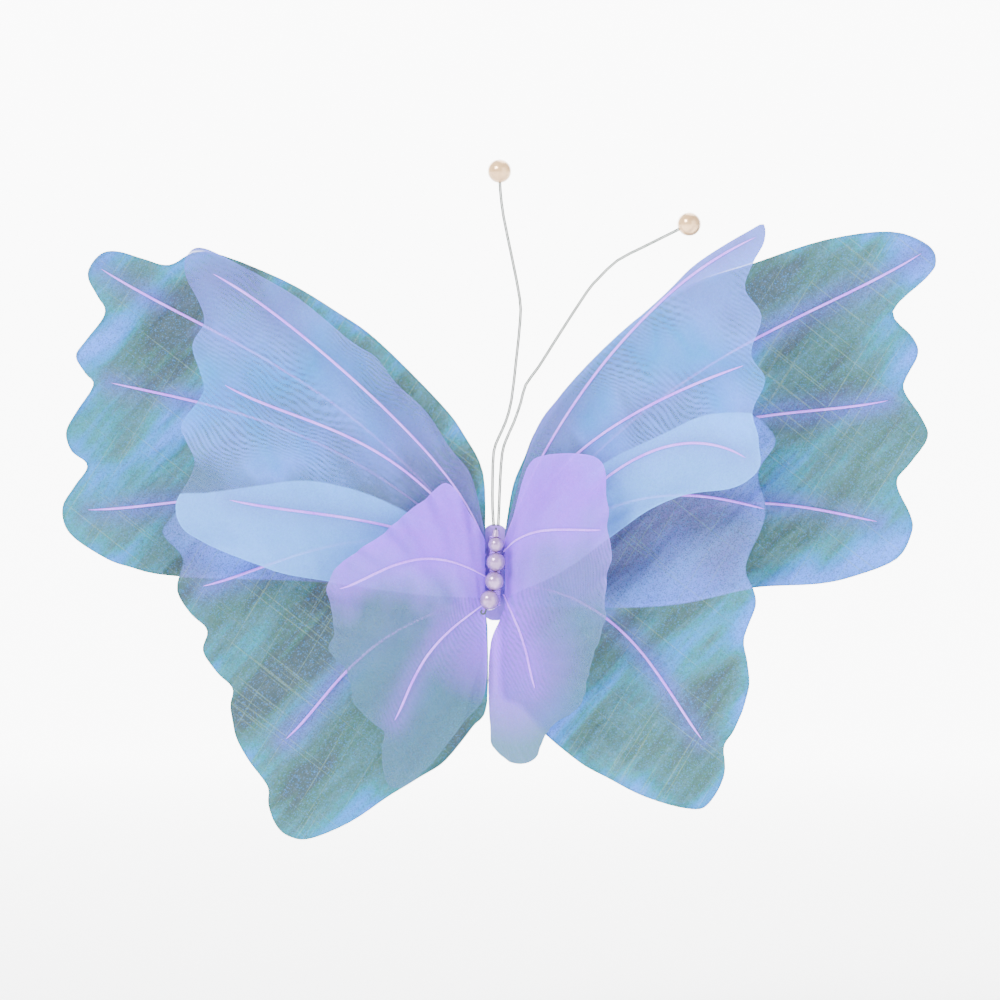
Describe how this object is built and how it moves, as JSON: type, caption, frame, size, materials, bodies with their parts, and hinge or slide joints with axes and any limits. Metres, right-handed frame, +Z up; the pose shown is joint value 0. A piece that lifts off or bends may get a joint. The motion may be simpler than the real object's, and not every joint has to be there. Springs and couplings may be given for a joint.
{
  "type": "fairy wings",
  "caption": "Layered organza fairy wings in teal, lilac and pink on a beaded pearl body, with pearl-tipped wire feelers and a pin-bar back.",
  "frame": {"origin": "middle of the pin bar's back face, where the costume's cloth lies", "axes": "+X to the right across the wings, +Z up towards the feelers, -Y out of the front of the wings"},
  "size_m": [0.448, 0.0757, 0.3477],
  "materials": {
    "teal_organza": "iridescent teal and blue organza with fine glitter",
    "lilac_organza": "sheer periwinkle organza with watered bands",
    "pink_organza": "sheer pink-lilac organza",
    "cased_wire": "pale lilac casing over wire",
    "pearl_mauve": "pearl lustre",
    "pearl_cream": "cream pearl lustre",
    "silver_wire": "grey-green silver wire",
    "felt": "felt",
    "pin_steel": "nickel-plated steel"
  },
  "bodies": {
    "body": {"body_pearl_1": "pearl_mauve", "body_pearl_2": "pearl_mauve", "body_pearl_3": "pearl_mauve", "body_pearl_4": "pearl_mauve", "stem_wire": "silver_wire", "neck_cone": "silver_wire", "root_binding": "silver_wire", "felt_backing": "felt", "pin_bar": "pin_steel", "pin_rivet": "pin_steel"},
    "back_forewing_left": {"back_forewing_left": "teal_organza", "back_forewing_left_rib_1": "cased_wire", "back_forewing_left_rib_2": "cased_wire", "back_forewing_left_rib_3": "cased_wire"},
    "back_forewing_right": {"back_forewing_right": "teal_organza", "back_forewing_right_rib_1": "cased_wire", "back_forewing_right_rib_2": "cased_wire", "back_forewing_right_rib_3": "cased_wire"},
    "hindwing_left": {"hindwing_left": "teal_organza", "hindwing_left_rib_1": "cased_wire", "hindwing_left_rib_2": "cased_wire"},
    "hindwing_right": {"hindwing_right": "teal_organza", "hindwing_right_rib_1": "cased_wire", "hindwing_right_rib_2": "cased_wire"},
    "mid_forewing_left": {"mid_forewing_left": "lilac_organza", "mid_forewing_left_rib_1": "cased_wire", "mid_forewing_left_rib_2": "cased_wire", "mid_forewing_left_rib_3": "cased_wire"},
    "mid_forewing_right": {"mid_forewing_right": "lilac_organza", "mid_forewing_right_rib_1": "cased_wire", "mid_forewing_right_rib_2": "cased_wire", "mid_forewing_right_rib_3": "cased_wire"},
    "front_wing_left": {"front_wing_left": "pink_organza", "front_wing_left_rib_1": "cased_wire", "front_wing_left_rib_2": "cased_wire"},
    "front_wing_right": {"front_wing_right": "pink_organza", "front_wing_right_rib_1": "cased_wire", "front_wing_right_rib_2": "cased_wire"},
    "feeler_left": {"feeler_wire_left": "silver_wire", "feeler_pearl_left": "pearl_cream"},
    "feeler_right": {"feeler_wire_right": "silver_wire", "feeler_pearl_right": "pearl_cream"},
    "needle": {"needle": "pin_steel"},
    "lock_collar": {"lock_collar": "pin_steel"}
  },
  "joints": [
    {"name": "back_forewing_left_fold", "type": "hinge", "parent": "body", "child": "back_forewing_left", "pos_m": [-0.0044, -0.0049, 0], "axis": [0, 0, 1], "range_deg": [-12, 4]},
    {"name": "back_forewing_right_fold", "type": "hinge", "parent": "body", "child": "back_forewing_right", "pos_m": [0.0044, -0.0049, 0], "axis": [0, 0, -1], "range_deg": [-12, 4]},
    {"name": "hindwing_left_fold", "type": "hinge", "parent": "body", "child": "hindwing_left", "pos_m": [-0.0044, -0.0074, 0], "axis": [0, 0, 1], "range_deg": [-4, 5]},
    {"name": "hindwing_right_fold", "type": "hinge", "parent": "body", "child": "hindwing_right", "pos_m": [0.0044, -0.0074, 0], "axis": [0, 0, -1], "range_deg": [-4, 9]},
    {"name": "mid_forewing_left_fold", "type": "hinge", "parent": "body", "child": "mid_forewing_left", "pos_m": [-0.0044, -0.0099, 0], "axis": [0, 0, 1], "range_deg": [-5, 6]},
    {"name": "mid_forewing_right_fold", "type": "hinge", "parent": "body", "child": "mid_forewing_right", "pos_m": [0.0044, -0.0099, 0], "axis": [0, 0, -1], "range_deg": [-9, 9]},
    {"name": "front_wing_left_fold", "type": "hinge", "parent": "body", "child": "front_wing_left", "pos_m": [-0.0044, -0.0124, 0], "axis": [0, 0, 1], "range_deg": [-6, 25]},
    {"name": "front_wing_right_fold", "type": "hinge", "parent": "body", "child": "front_wing_right", "pos_m": [0.0044, -0.0124, 0], "axis": [0, 0, -1], "range_deg": [-9, 22]},
    {"name": "feeler_left_bend", "type": "hinge", "parent": "body", "child": "feeler_left", "pos_m": [-0.00065, -0.0196, 0.025], "axis": [1, 0, 0], "range_deg": [-25, 30]},
    {"name": "feeler_right_bend", "type": "hinge", "parent": "body", "child": "feeler_right", "pos_m": [0.00165, -0.0196, 0.025], "axis": [1, 0, 0], "range_deg": [-25, 30]},
    {"name": "needle_swing", "type": "hinge", "parent": "body", "child": "needle", "pos_m": [0, 0.0025, 0.0195], "axis": [1, 0, 0], "range_deg": [0, 60]},
    {"name": "collar_turn", "type": "hinge", "parent": "body", "child": "lock_collar", "pos_m": [0, 0.0025, -0.0175], "axis": [0, 0, 1], "range_deg": [0, 110]}
  ]
}
